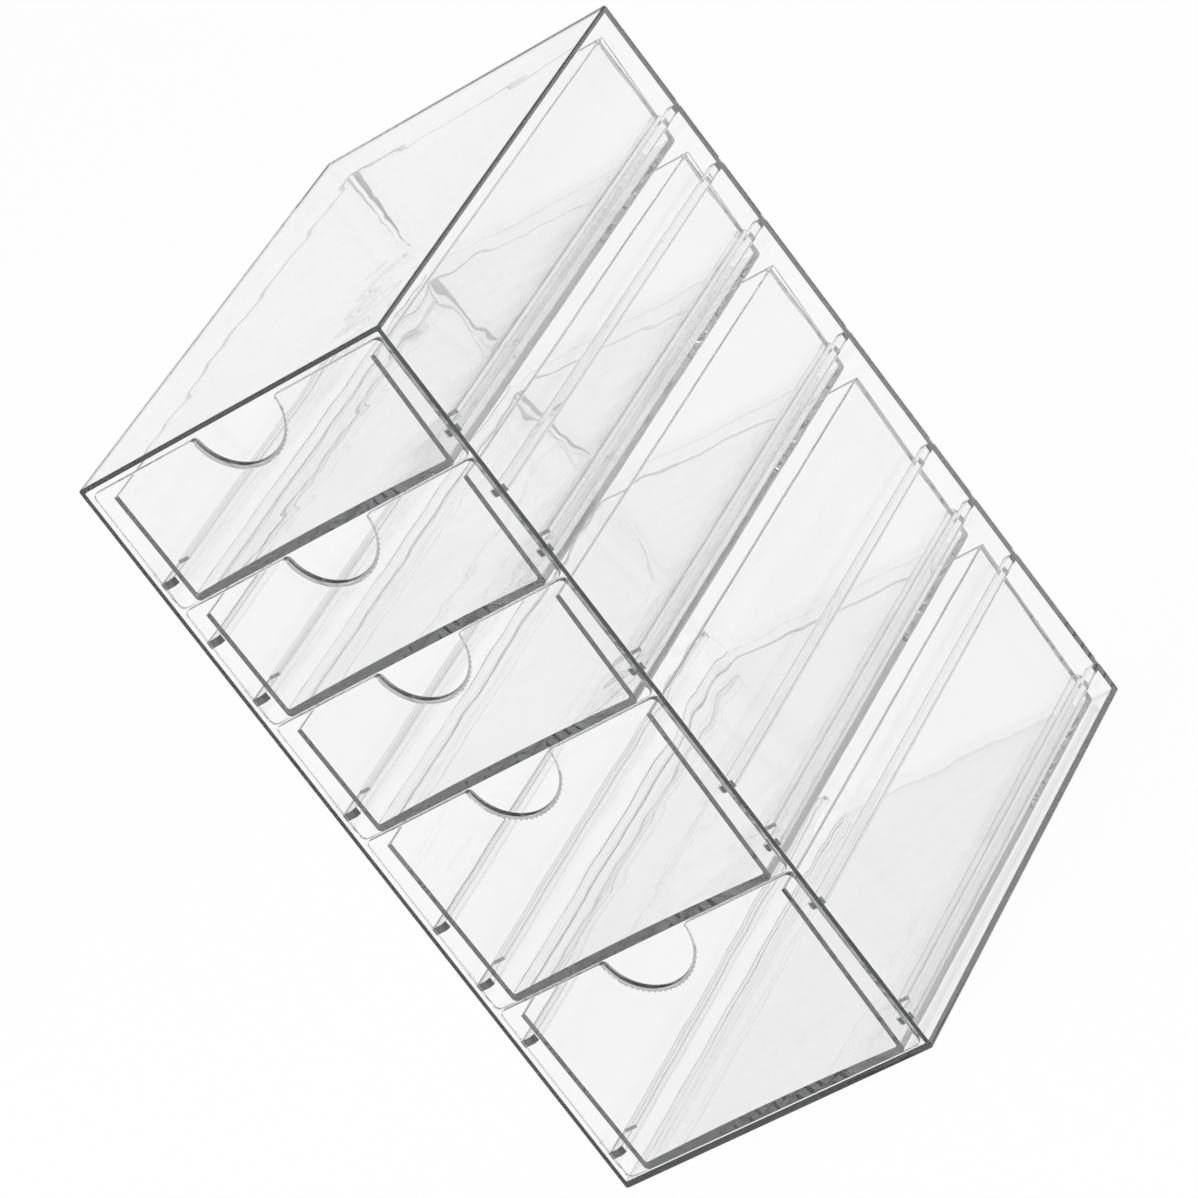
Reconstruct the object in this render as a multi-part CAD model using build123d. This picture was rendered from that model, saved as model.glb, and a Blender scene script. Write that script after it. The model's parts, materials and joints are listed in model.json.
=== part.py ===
from build123d import *
import os
from math import radians, tan

# A clear moulded tower of pull-out drawers for cosmetics. Millimetres; X is the width, the
# drawers face -Y, +Z is up, and the origin is at the bottom centre of the housing's footprint.

# Layout: every drawer is a whole number of modules tall, listed from the top of the tower down.
MODULE = 20.75
LOW_COUNT = 2
TALL_COUNT = 3
DRAWER_COUNTS = (LOW_COUNT, LOW_COUNT, LOW_COUNT, TALL_COUNT, TALL_COUNT)

# Housing
WIDTH = 113.0           # across the front, where the housing is widest
DEPTH = 187.0
SHELL_WALL = 2.0
SHELL_CORNER = 1.8      # long edges, outside
CAVITY_CORNER = 1.2     # long edges, inside
HEADROOM = 0.7          # spare height above the top drawer's bay
BACK_INSET = 1.8        # how far each side wall leans in by the time it reaches the back
RAIL_REACH = 4.1        # how far a rail stands out from the side wall at the front
RAIL_RISE = 7.0         # underside of a rail above the bottom of the bay that it serves
RAIL_THICK = 2.4
RAIL_LEAD = 1.2         # chamfer on the front tip of a rail

# Drawer
PANEL_THICK = 2.0
PANEL_CORNER = 2.0
PANEL_SIDE_GAP = 0.5    # between a front panel and the housing's side wall
PANEL_ROW_GAP = 0.6     # between one front panel and the next
TRAY_WALL = 2.0
TRAY_FLOOR = 2.0
TRAY_DRAFT = 1.2        # degrees
TRAY_CORNER = 1.5       # upright back corners, outside
TRAY_EDGE = 1.2         # rounding under the floor
TRAY_INNER_CORNER = 1.0
TRAY_INNER_EDGE = 0.8   # rounding along the floor, inside
FLOOR_CROWN = 0.8       # how much thicker the floor is along its middle
RIM_DROP = 3.8          # rim below the top of the front panel
TRAY_BACK_GAP = 1.0     # between a closed drawer and the housing's back wall
NOTCH_RADIUS = 14.5
NOTCH_BLEND = 1.8       # where the notch meets the top of the panel
NOTCH_ROUND = 1.5       # front edge of the notch

# How a drawer is carried
RUNNER_THICK = 1.2
RUNNER_LEAD = 3.0       # chamfer on the back end of a runner
RUNNER_START = 8.0      # front end of a runner behind the front panel
RUNNER_SIDE_GAP = 0.5   # between a runner and the housing's side wall at its narrow end
SEAT_GAP = 0.25         # between a runner and the rail below it
RAIL_SIDE_GAP = 1.4     # between a rail's tip and the tray
RAIL_STOP_GAP = 0.4     # between a closed front panel and the rails' front ends

FRONT = -DEPTH / 2
BACK = DEPTH / 2
TOTAL_COUNT = sum(DRAWER_COUNTS)
HEIGHT = TOTAL_COUNT * MODULE + HEADROOM + 2 * SHELL_WALL
RAIL_TIP = WIDTH / 2 - SHELL_WALL - RAIL_REACH
TRAY_HALF = RAIL_TIP - RAIL_SIDE_GAP    # outside of the tray at its rim
PANEL_BACK = FRONT + PANEL_THICK
CAVITY_BACK = BACK - SHELL_WALL
TRAY_BACK = CAVITY_BACK - TRAY_BACK_GAP


def bay_floor(modules_down):
    """Height of the bottom of a bay that ends this many modules down the tower."""
    return SHELL_WALL + (TOTAL_COUNT - modules_down) * MODULE


def cavity_half_width(y):
    """Half the inside width of the housing, which narrows towards the back."""
    return WIDTH / 2 - SHELL_WALL - BACK_INSET * (y - FRONT) / DEPTH


def tapered_block(front_half, back_half, back, low, high, corner):
    """A block that narrows towards the back, with its four long edges rounded."""
    plan = Polyline(
        (-front_half, FRONT),
        (front_half, FRONT),
        (back_half, back),
        (-back_half, back),
        close=True,
    )
    block = extrude(Plane.XY.offset(low) * make_face(plan), high - low)
    level_edges = block.edges().filter_by(Axis.Z, reverse=True)
    return fillet(level_edges.filter_by(Axis.X, reverse=True), corner)


def housing_block():
    return tapered_block(WIDTH / 2, WIDTH / 2 - BACK_INSET, BACK, 0, HEIGHT, SHELL_CORNER)


def housing_cavity():
    return tapered_block(
        cavity_half_width(FRONT),
        cavity_half_width(CAVITY_BACK),
        CAVITY_BACK,
        SHELL_WALL,
        HEIGHT - SHELL_WALL,
        CAVITY_CORNER,
    )


def rail_levels():
    """Modules down to each rail: one wherever a low or a tall drawer can end."""
    regular = {n for n in range(1, TOTAL_COUNT + 1) if n % LOW_COUNT == 0 or n % TALL_COUNT == 0}
    in_use = {sum(DRAWER_COUNTS[: n + 1]) for n in range(len(DRAWER_COUNTS))}
    return sorted(regular | in_use)


def rail(level, side):
    """A bar along one side wall, from just behind the front panels to the back wall."""
    front = PANEL_BACK + RAIL_STOP_GAP
    root = WIDTH / 2
    plan = Polyline(
        (root, front),
        (RAIL_TIP + RAIL_LEAD, front),
        (RAIL_TIP, front + RAIL_LEAD),
        (RAIL_TIP, BACK),
        (root, BACK),
        close=True,
    )
    bar = extrude(Plane.XY.offset(bay_floor(level) + RAIL_RISE) * make_face(plan), RAIL_THICK)
    return bar if side > 0 else mirror(bar, about=Plane.YZ)


def housing():
    cavity = housing_cavity()
    for level in rail_levels():
        for side in (-1, 1):
            cavity -= rail(level, side)
    return housing_block() - cavity


def notch_flare():
    """What the rounded front edge of the notch leaves out, about the notch's axis at z = 0."""
    inner = NOTCH_RADIUS - NOTCH_ROUND
    outer = NOTCH_RADIUS + NOTCH_ROUND
    back = FRONT + NOTCH_ROUND
    edge = Bezier((NOTCH_RADIUS, back), (NOTCH_RADIUS, FRONT), (outer, FRONT))
    rest = Polyline((NOTCH_RADIUS, back), (inner, back), (inner, FRONT), (outer, FRONT))
    return revolve(make_face([edge, rest]), Axis.Y)


def front_panel(height):
    """Front panel with its half-round finger notch, standing on z = 0."""
    width = WIDTH - 2 * SHELL_WALL - 2 * PANEL_SIDE_GAP
    outline = Pos(0, height / 2) * RectangleRounded(width, height, PANEL_CORNER)
    outline -= Pos(0, height) * Circle(NOTCH_RADIUS)
    top_points = outline.vertices().group_by(Axis.Y)[-1]
    notch_ends = top_points.sort_by(lambda point: abs(point.X))[:2]
    outline = fillet(notch_ends, NOTCH_BLEND)
    plane = Plane(origin=(0, PANEL_BACK, 0), x_dir=(1, 0, 0), z_dir=(0, -1, 0))
    return extrude(plane * outline, PANEL_THICK) - Pos(0, 0, height) * notch_flare()


def drafted_tub(inset, low, high, corner, edge):
    """A solid tub, widest at its rim, rounded at the back and the bottom, flat at the front panel."""
    half_length = TRAY_BACK - inset - PANEL_BACK
    rim = Pos(0, PANEL_BACK, high) * Rectangle(2 * (TRAY_HALF - inset), 2 * half_length)
    solid = extrude(rim, low - high, taper=TRAY_DRAFT)
    solid = fillet(solid.edges().filter_by(Plane.XY, reverse=True), corner)
    solid = fillet(solid.faces().sort_by(Axis.Z)[0].edges(), edge)
    return split(solid, bisect_by=Plane(origin=(0, PANEL_BACK, 0), z_dir=(0, 1, 0)), keep=Keep.TOP)


def floor_crown(half_width):
    """The low arch of plastic on top of the floor, standing on z = 0."""
    arch = ThreePointArc((-half_width, 0), (0, FLOOR_CROWN), (half_width, 0))
    chord = Line((-half_width, 0), (half_width, 0))
    plane = Plane(origin=(0, TRAY_BACK, 0), x_dir=(1, 0, 0), z_dir=(0, -1, 0))
    return extrude(plane * make_face([arch, chord]), TRAY_BACK - FRONT)


def runner(side):
    """Ledge along one side of the tray that rests on the rail, standing on z = 0."""
    start = PANEL_BACK + RUNNER_START
    end = TRAY_BACK - TRAY_WALL - TRAY_CORNER
    root = TRAY_HALF - TRAY_WALL
    reach = cavity_half_width(CAVITY_BACK) - RUNNER_SIDE_GAP
    plan = Polyline(
        (root, start),
        (reach, start),
        (reach, end - RUNNER_LEAD),
        (reach - RUNNER_LEAD, end),
        (root, end),
        close=True,
    )
    ledge = extrude(make_face(plan), RUNNER_THICK)
    return ledge if side > 0 else mirror(ledge, about=Plane.YZ)


def drawer(modules, floor_level):
    """One drawer, closed, in the bay whose bottom is at floor_level."""
    height = modules * MODULE - PANEL_ROW_GAP
    rim = height - RIM_DROP
    outer = drafted_tub(0, 0, rim, TRAY_CORNER, TRAY_EDGE)
    inner = drafted_tub(TRAY_WALL, TRAY_FLOOR, rim, TRAY_INNER_CORNER, TRAY_INNER_EDGE)
    floor_half = TRAY_HALF - TRAY_WALL - TRAY_INNER_EDGE - rim * tan(radians(TRAY_DRAFT))
    inner -= Pos(0, 0, TRAY_FLOOR) * floor_crown(floor_half)
    seat = RAIL_RISE + RAIL_THICK + SEAT_GAP - PANEL_ROW_GAP / 2
    body = front_panel(height) + outer
    for side in (-1, 1):
        body += Pos(0, 0, seat) * runner(side)
    return Pos(0, 0, floor_level + PANEL_ROW_GAP / 2) * (body - inner)


def parts():
    yield "housing", housing()
    level = 0
    for number, modules in enumerate(DRAWER_COUNTS, start=1):
        level += modules
        yield f"drawer_{number}", drawer(modules, bay_floor(level))


os.makedirs("parts", exist_ok=True)
for name, shape in parts():
    export_step(shape, f"parts/{name}.step")
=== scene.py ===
import json
import math

import bmesh
import bpy
from mathutils import Matrix, Vector

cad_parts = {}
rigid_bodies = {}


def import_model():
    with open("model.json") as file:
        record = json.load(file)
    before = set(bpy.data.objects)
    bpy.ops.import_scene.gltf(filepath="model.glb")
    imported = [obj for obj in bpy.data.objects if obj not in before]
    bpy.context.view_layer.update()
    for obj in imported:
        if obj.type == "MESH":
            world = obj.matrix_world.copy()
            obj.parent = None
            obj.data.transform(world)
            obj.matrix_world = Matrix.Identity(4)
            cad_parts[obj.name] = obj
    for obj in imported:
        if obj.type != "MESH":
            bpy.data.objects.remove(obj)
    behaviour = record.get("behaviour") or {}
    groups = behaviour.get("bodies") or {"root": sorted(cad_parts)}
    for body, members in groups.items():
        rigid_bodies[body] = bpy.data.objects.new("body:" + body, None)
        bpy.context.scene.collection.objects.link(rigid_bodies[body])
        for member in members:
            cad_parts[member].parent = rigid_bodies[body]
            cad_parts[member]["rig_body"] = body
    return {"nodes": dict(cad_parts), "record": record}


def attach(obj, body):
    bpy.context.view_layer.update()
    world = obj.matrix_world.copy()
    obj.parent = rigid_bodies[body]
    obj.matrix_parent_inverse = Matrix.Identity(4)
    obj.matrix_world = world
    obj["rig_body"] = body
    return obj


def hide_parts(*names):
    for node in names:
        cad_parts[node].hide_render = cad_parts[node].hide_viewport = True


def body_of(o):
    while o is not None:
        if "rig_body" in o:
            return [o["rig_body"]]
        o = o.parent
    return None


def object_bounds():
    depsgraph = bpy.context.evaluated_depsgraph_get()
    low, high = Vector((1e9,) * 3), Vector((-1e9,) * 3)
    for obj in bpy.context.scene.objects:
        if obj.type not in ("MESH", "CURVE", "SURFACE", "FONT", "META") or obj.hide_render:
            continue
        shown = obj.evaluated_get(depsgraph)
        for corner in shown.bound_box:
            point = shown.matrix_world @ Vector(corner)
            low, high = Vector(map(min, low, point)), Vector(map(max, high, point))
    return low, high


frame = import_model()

CAD_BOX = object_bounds()

# Camera: a long lens at the photograph's viewing angle. The picture is turned, so the camera rolls.
PHOTO_PIXELS = 1198
FOCAL_PIXELS = 8009.1
SENSOR_WIDTH = 36.0         # millimetres, as Blender wants it
AZIMUTH = 35.114            # degrees
ELEVATION = 14.757
ROLL = -37.560
DISTANCE = 2.2540           # metres from the middle of the tower
SIDESTEP = -0.0054
RISE = 0.0019
CLIP_END = 100.0

# Housing, in metres: the photograph shows crisper long edges and thinner walls than the solid has.
SOLID_WALL = 0.002
SOLID_CORNER = 0.0018       # long edges, outside
SOLID_INNER_CORNER = 0.0012
BACK_INSET = 0.0018         # how far each side wall leans in by the time it reaches the back
SHOWN_WALL = 0.0015
SHOWN_CORNER = 0.0008
SHOWN_INNER_CORNER = 0.0003
TINY = 1e-5

# Drawers, in metres: the photograph shows thinner tray walls too, and a notch that stands out. The
# notch's surface gets painted shade.
TRAY_HALF = 0.049           # outside of a tray at its rim
TRAY_DRAFT = 1.2            # degrees
TRAY_FLOOR = 0.002
RIM_DROP = 0.0038           # rim below the top of the front panel
TRAY_INNER_CORNER = 0.001
TRAY_MARGIN = 1e-4          # how far a point of the inner side may lie from where it should
SHOWN_TRAY_WALL = 0.0016
NOTCH_RADIUS = 0.0145
NOTCH_BAND = (-0.0005, 0.002)   # its surface, as distances past that radius
# painted shade: the notch's surfaces are coloured this dark grey, standing in for the shade that the
# curved notch shows
NOTCH_PAINTED_SHADE = 0.30
PANEL_FLATNESS = 0.99       # from here on, a normal's Y says that the face is the panel's own

# Mouldings
EDGE_ROUNDING = 0.0003
EDGE_SEGMENTS = 2
EDGE_PROFILE = 0.5          # round
MERGE_DISTANCE = 1e-4
FLAT_ANGLE = 0.05           # degrees between facets of one plane
CORNER_ANGLE = 70.0         # degrees from which an edge is a corner to round
CREASE_ANGLE = 32.0         # degrees from which shading breaks
LARGE_FACES_FIRST = 100     # weight that keeps the shading of large faces flat

# Clear plastic
PLASTIC_IOR = 1.49
PLASTIC_SHADE = (0.50, 0.505, 0.51, 1.0)
HOUSING_DENSITY = 25.0      # of the volume, per metre
DRAWER_DENSITY = 15.0
SHADOW_SHARE = (0.985, 0.985, 0.985, 1.0)   # light that passes each surface into a shadow
CLOUD_SCALE = 16.0          # faint flow clouds of the moulding, per metre
CLOUD_STRETCH = (1.0, 0.4, 1.0)
CLOUD_TURN = (0.5, 0.0, 0.0)
CLOUD_DETAIL = 3.0
CLOUD_DISTORTION = 0.8
CLOUD_RANGE = (0.35, 0.6)   # of the noise, from the darkest cloud to clear plastic
CLOUD_SHADE = 0.990
WAVE_SCALE = 42.0           # waves in the surface, per metre
WAVE_DETAIL = 1.0
WAVE_HEIGHT = 0.0002

# Room
WHITE = (1.0, 1.0, 1.0, 1.0)
SKY_STRENGTH = 0.85         # of the light that falls on matt surfaces
SKY_RAMP = (                # what the plastic mirrors: height on the sky's sphere, colour
    (0.05, WHITE),
    (0.30, (0.84, 0.84, 0.85, 1.0)),
    (0.90, (0.5, 0.5, 0.5, 1.0)),
)
FLOOR_SIZE = 8.0
FLOOR_GAP = 0.0002
FLOOR_COLOUR = (0.92, 0.92, 0.92, 1.0)
FLOOR_GLOW = 0.92           # share of plain white that the camera sees, which leaves the shadow faint
MIRRORED_GLOW = 1.0         # the same for what the plastic shows
LAMP_PLACE = (-0.8, -1.2, 1.6)
LAMP_SIZE = 1.0
LAMP_POWER = 12.0           # watts

# Light turns back many times inside the roundings, which would be black with fewer bounces.
BOUNCES = 128
CLEAR_BOUNCES = 32


def add_camera():
    low, high = CAD_BOX
    middle = (low + high) / 2
    azimuth, elevation, roll = (math.radians(angle) for angle in (AZIMUTH, ELEVATION, ROLL))
    back = Vector((
        math.sin(azimuth) * math.cos(elevation),
        -math.cos(azimuth) * math.cos(elevation),
        math.sin(elevation),
    ))
    right = (-back).cross(Vector((0, 0, 1))).normalized()
    up = right.cross(-back)
    across = math.cos(roll) * right + math.sin(roll) * up
    along = -math.sin(roll) * right + math.cos(roll) * up
    data = bpy.data.cameras.new("camera")
    data.sensor_width = SENSOR_WIDTH
    data.lens = FOCAL_PIXELS / PHOTO_PIXELS * SENSOR_WIDTH
    data.clip_end = CLIP_END
    camera = bpy.data.objects.new("camera", data)
    turn = Matrix((across, along, back)).transposed()
    place = middle + back * DISTANCE + right * SIDESTEP + up * RISE
    camera.matrix_world = Matrix.Translation(place) @ turn.to_4x4()
    bpy.context.scene.collection.objects.link(camera)
    bpy.context.scene.camera = camera


def node_tree(owner):
    owner.use_nodes = True
    owner.node_tree.nodes.clear()
    return owner.node_tree


def add_node(tree, kind, settings=None, **sockets):
    node = tree.nodes.new(kind)
    for name, value in (settings or {}).items():
        setattr(node, name, value)
    for name, value in sockets.items():
        node.inputs[name.replace("_", " ")].default_value = value
    return node


def largest(tree, outputs):
    """The largest of some outputs."""
    result = outputs[0]
    for output in outputs[1:]:
        node = add_node(tree, "ShaderNodeMath", {"operation": "MAXIMUM"})
        tree.links.new(result, node.inputs[0])
        tree.links.new(output, node.inputs[1])
        result = node.outputs[0]
    return result


def scaled(tree, output, factor):
    """An output times a number."""
    node = add_node(tree, "ShaderNodeMath", {"operation": "MULTIPLY"})
    tree.links.new(output, node.inputs[0])
    node.inputs[1].default_value = factor
    return node.outputs[0]


def mix_shaders(tree, factor, first, second):
    """The first shader where the factor is 0, the second where it is 1."""
    mix = add_node(tree, "ShaderNodeMixShader")
    tree.links.new(factor, mix.inputs[0])
    tree.links.new(first, mix.inputs[1])
    tree.links.new(second, mix.inputs[2])
    return mix.outputs[0]


def colour_ramp(tree, stops):
    """A ramp with a colour at each of two or more positions."""
    ramp = add_node(tree, "ShaderNodeValToRGB")
    elements = ramp.color_ramp.elements
    for number, (position, colour) in enumerate(stops):
        if number < 2:
            elements[number].position = position
            elements[number].color = colour
        else:
            elements.new(position).color = colour
    return ramp


def set_world():
    world = bpy.data.worlds.new("studio")
    bpy.context.scene.world = world
    tree = node_tree(world)
    out = add_node(tree, "ShaderNodeOutputWorld")
    white = add_node(tree, "ShaderNodeBackground", Color=WHITE, Strength=1.0)
    around = add_node(tree, "ShaderNodeBackground", Strength=1.0)
    light = add_node(tree, "ShaderNodeBackground", Color=WHITE, Strength=SKY_STRENGTH)
    where = add_node(tree, "ShaderNodeTexCoord")
    split = add_node(tree, "ShaderNodeSeparateXYZ")
    ramp = colour_ramp(tree, SKY_RAMP)
    path = add_node(tree, "ShaderNodeLightPath")
    tree.links.new(where.outputs["Generated"], split.inputs[0])
    tree.links.new(split.outputs["Z"], ramp.inputs[0])
    tree.links.new(ramp.outputs[0], around.inputs["Color"])
    bent = largest(tree, [path.outputs["Is Glossy Ray"], path.outputs["Is Transmission Ray"]])
    seen = mix_shaders(tree, bent, light.outputs[0], around.outputs[0])
    seen = mix_shaders(tree, path.outputs["Is Camera Ray"], seen, white.outputs[0])
    tree.links.new(seen, out.inputs["Surface"])


def add_floor():
    mesh = bpy.data.meshes.new("floor")
    half = FLOOR_SIZE / 2
    corners = [(-half, -half, 0), (half, -half, 0), (half, half, 0), (-half, half, 0)]
    mesh.from_pydata(corners, [], [(0, 1, 2, 3)])
    floor = bpy.data.objects.new("floor", mesh)
    floor.location.z = -FLOOR_GAP
    bpy.context.scene.collection.objects.link(floor)
    material = bpy.data.materials.new("floor")
    tree = node_tree(material)
    out = add_node(tree, "ShaderNodeOutputMaterial")
    matt = add_node(tree, "ShaderNodeBsdfDiffuse", Color=FLOOR_COLOUR)
    glow = add_node(tree, "ShaderNodeEmission", Color=WHITE, Strength=1.0)
    path = add_node(tree, "ShaderNodeLightPath")
    bent = largest(tree, [path.outputs["Is Glossy Ray"], path.outputs["Is Transmission Ray"]])
    seen = scaled(tree, path.outputs["Is Camera Ray"], FLOOR_GLOW)
    share = largest(tree, [seen, scaled(tree, bent, MIRRORED_GLOW)])
    surface = mix_shaders(tree, share, matt.outputs[0], glow.outputs[0])
    tree.links.new(surface, out.inputs["Surface"])
    mesh.materials.append(material)


def add_lamp():
    data = bpy.data.lights.new("key", "AREA")
    data.shape = "SQUARE"
    data.size = LAMP_SIZE
    data.energy = LAMP_POWER
    lamp = bpy.data.objects.new("key", data)
    lamp.location = LAMP_PLACE
    lamp.rotation_euler = (-Vector(LAMP_PLACE)).to_track_quat("-Z", "Y").to_euler()
    bpy.context.scene.collection.objects.link(lamp)


def grey(shade):
    return (shade, shade, shade, 1.0)


def flow_clouds(tree):
    """Faint clouds along the way that the plastic flowed."""
    where = add_node(tree, "ShaderNodeTexCoord")
    stretch = add_node(tree, "ShaderNodeMapping", Scale=CLOUD_STRETCH, Rotation=CLOUD_TURN)
    clouds = add_node(
        tree,
        "ShaderNodeTexNoise",
        Scale=CLOUD_SCALE,
        Detail=CLOUD_DETAIL,
        Distortion=CLOUD_DISTORTION,
    )
    ramp = colour_ramp(tree, zip(CLOUD_RANGE, (grey(CLOUD_SHADE), WHITE)))
    tree.links.new(where.outputs["Object"], stretch.inputs["Vector"])
    tree.links.new(stretch.outputs["Vector"], clouds.inputs["Vector"])
    tree.links.new(clouds.outputs["Fac"], ramp.inputs["Fac"])
    return ramp.outputs["Color"]


def notch_painted_shade(tree, colour):
    """A colour, apart from the surface of the finger notches, which gets painted shade: a darker colour
    standing in for the shade that the curved notch shows.
    """
    notch = add_node(tree, "ShaderNodeAttribute", {"attribute_name": "notch"})
    mix = add_node(tree, "ShaderNodeMix", {"data_type": "RGBA"})
    colours = [socket for socket in mix.inputs if socket.type == "RGBA"]
    colours[1].default_value = grey(NOTCH_PAINTED_SHADE)
    tree.links.new(notch.outputs["Fac"], mix.inputs["Factor"])
    tree.links.new(colour, colours[0])
    return next(socket for socket in mix.outputs if socket.type == "RGBA")


def uneven_surface(tree):
    """Waves where light enters a wall and none where it leaves, so that the wall bends what it shows."""
    where = add_node(tree, "ShaderNodeTexCoord")
    side = add_node(tree, "ShaderNodeNewGeometry")
    entering = add_node(tree, "ShaderNodeMath", {"operation": "SUBTRACT"})
    entering.inputs[0].default_value = 1.0
    waves = add_node(tree, "ShaderNodeTexNoise", Scale=WAVE_SCALE, Detail=WAVE_DETAIL)
    bump = add_node(tree, "ShaderNodeBump", Distance=WAVE_HEIGHT)
    tree.links.new(side.outputs["Backfacing"], entering.inputs[1])
    tree.links.new(entering.outputs[0], bump.inputs["Strength"])
    tree.links.new(where.outputs["Object"], waves.inputs["Vector"])
    tree.links.new(waves.outputs["Fac"], bump.inputs["Height"])
    return bump.outputs["Normal"]


def clear_plastic(name, density):
    material = bpy.data.materials.new(name)
    tree = node_tree(material)
    out = add_node(tree, "ShaderNodeOutputMaterial")
    plastic = add_node(
        tree,
        "ShaderNodeBsdfPrincipled",
        Roughness=0.0,
        IOR=PLASTIC_IOR,
        Transmission_Weight=1.0,
    )
    # base colour: faint flow clouds, with painted shade on the finger notches
    tree.links.new(notch_painted_shade(tree, flow_clouds(tree)), plastic.inputs["Base Color"])
    tree.links.new(uneven_surface(tree), plastic.inputs["Normal"])
    passed = add_node(tree, "ShaderNodeBsdfTransparent", Color=SHADOW_SHARE)
    inside = add_node(tree, "ShaderNodeVolumeAbsorption", Color=PLASTIC_SHADE, Density=density)
    path = add_node(tree, "ShaderNodeLightPath")
    straight = largest(tree, [path.outputs["Is Shadow Ray"], path.outputs["Is Diffuse Ray"]])
    surface = mix_shaders(tree, straight, plastic.outputs[0], passed.outputs[0])
    tree.links.new(surface, out.inputs["Surface"])
    tree.links.new(inside.outputs[0], out.inputs["Volume"])
    return material


def is_corner(edge):
    return edge.is_manifold and edge.is_convex and edge.calc_face_angle() > math.radians(CORNER_ANGLE)


def crisper(side, level, slab):
    """Where a point of the housing goes.

    A point is given by its distances in from the outer side and from the top or bottom. The top
    or bottom becomes as thick as slab.
    """
    if max(side, level) < SOLID_CORNER + TINY:
        scale = SHOWN_CORNER / SOLID_CORNER
        return side * scale, level * scale
    inner_end = SOLID_WALL + SOLID_INNER_CORNER + TINY
    if min(side, level) > SOLID_WALL - TINY and max(side, level) < inner_end:
        scale = SHOWN_INNER_CORNER / SOLID_INNER_CORNER
        return SHOWN_WALL + (side - SOLID_WALL) * scale, slab + (level - SOLID_WALL) * scale
    if abs(side - SOLID_WALL) < TINY:
        side = SHOWN_WALL
    if abs(level - SOLID_WALL) < TINY:
        level = slab
    return side, level


def thin_tray(shape):
    """Moves the inner side of a tray's side walls outwards."""
    low = min(point.co.z for point in shape.verts)
    rim = max(point.co.z for point in shape.verts) - RIM_DROP
    for point in shape.verts:
        place = point.co
        outside = TRAY_HALF - (rim - place.z) * math.tan(math.radians(TRAY_DRAFT))
        side = outside - abs(place.x)
        past_wall = side - SOLID_WALL
        within = -TRAY_MARGIN < past_wall < TRAY_INNER_CORNER + TRAY_MARGIN / 2
        if within and place.z > low + TRAY_FLOOR - TINY:
            place.x += math.copysign(SOLID_WALL - SHOWN_TRAY_WALL, place.x)


def mark_notch(shape):
    """Marks the faces of a drawer's finger notch, for the material, which paints shade on them."""
    top = max(point.co.z for point in shape.verts)
    layer = shape.faces.layers.float.new("notch")
    for face in shape.faces:
        middle = face.calc_center_median()
        reach = math.hypot(middle.x, middle.z - top) - NOTCH_RADIUS
        curved = abs(face.normal.y) < PANEL_FLATNESS
        face[layer] = 1.0 if curved and NOTCH_BAND[0] < reach < NOTCH_BAND[1] else 0.0


def thin_walls(shape):
    """Thins the housing's sides and top and sharpens its long edges. Its outside stays where it is."""
    low, high = CAD_BOX
    for point in shape.verts:
        place = point.co
        half = high.x - BACK_INSET * (place.y - low.y) / (high.y - low.y)
        upper = place.z > high.z / 2
        level = high.z - place.z if upper else place.z
        side, level = crisper(half - abs(place.x), level, SHOWN_WALL if upper else SOLID_WALL)
        place.x = math.copysign(half - side, place.x)
        place.z = high.z - level if upper else level


def round_corners(shape):
    """Joins the facets of each plane and rounds the outer corners, as a mould leaves them."""
    bmesh.ops.dissolve_limit(
        shape,
        angle_limit=math.radians(FLAT_ANGLE),
        verts=shape.verts,
        edges=shape.edges,
    )
    bmesh.ops.bevel(
        shape,
        geom=[edge for edge in shape.edges if is_corner(edge)],
        offset=EDGE_ROUNDING,
        offset_type="OFFSET",
        segments=EDGE_SEGMENTS,
        profile=EDGE_PROFILE,
        affect="EDGES",
        clamp_overlap=False,
        miter_outer="SHARP",
        miter_inner="SHARP",
    )


def moulded_mesh(name, source, is_drawer):
    """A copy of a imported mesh, as thin and as rounded as the photograph shows it."""
    shape = bmesh.new()
    shape.from_mesh(source)
    bmesh.ops.remove_doubles(shape, verts=shape.verts, dist=MERGE_DISTANCE)
    if is_drawer:
        thin_tray(shape)
    else:
        thin_walls(shape)
    round_corners(shape)
    if is_drawer:
        mark_notch(shape)
    for face in shape.faces:
        face.smooth = True
    for edge in shape.edges:
        edge.smooth = edge.calc_face_angle(0) < math.radians(CREASE_ANGLE)
    mesh = bpy.data.meshes.new(name)
    shape.to_mesh(mesh)
    shape.free()
    return mesh


def dress(node_name, slot):
    node = frame["nodes"][node_name]
    name = node_name + "_clear"
    piece = bpy.data.objects.new(name, moulded_mesh(name, node.data, slot == "clear_drawer"))
    bpy.context.scene.collection.objects.link(piece)
    piece.data.materials.append(plastics[slot])
    shading = piece.modifiers.new("flat faces", "WEIGHTED_NORMAL")
    shading.keep_sharp = True
    shading.weight = LARGE_FACES_FIRST
    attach(piece, body_of(node)[0])
    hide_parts(node_name)


slots = {part["node"]: part["material_slot"] for part in frame["record"]["subparts"]}
add_camera()
set_world()
add_floor()
add_lamp()
plastics = {
    "clear_housing": clear_plastic("housing_plastic", HOUSING_DENSITY),
    "clear_drawer": clear_plastic("drawer_plastic", DRAWER_DENSITY),
}
for node_name in frame["nodes"]:
    dress(node_name, slots[node_name])
bpy.context.scene.view_settings.view_transform = "Standard"
bpy.context.scene.cycles.max_bounces = BOUNCES
bpy.context.scene.cycles.transmission_bounces = BOUNCES
bpy.context.scene.cycles.glossy_bounces = BOUNCES
bpy.context.scene.cycles.transparent_max_bounces = CLEAR_BOUNCES
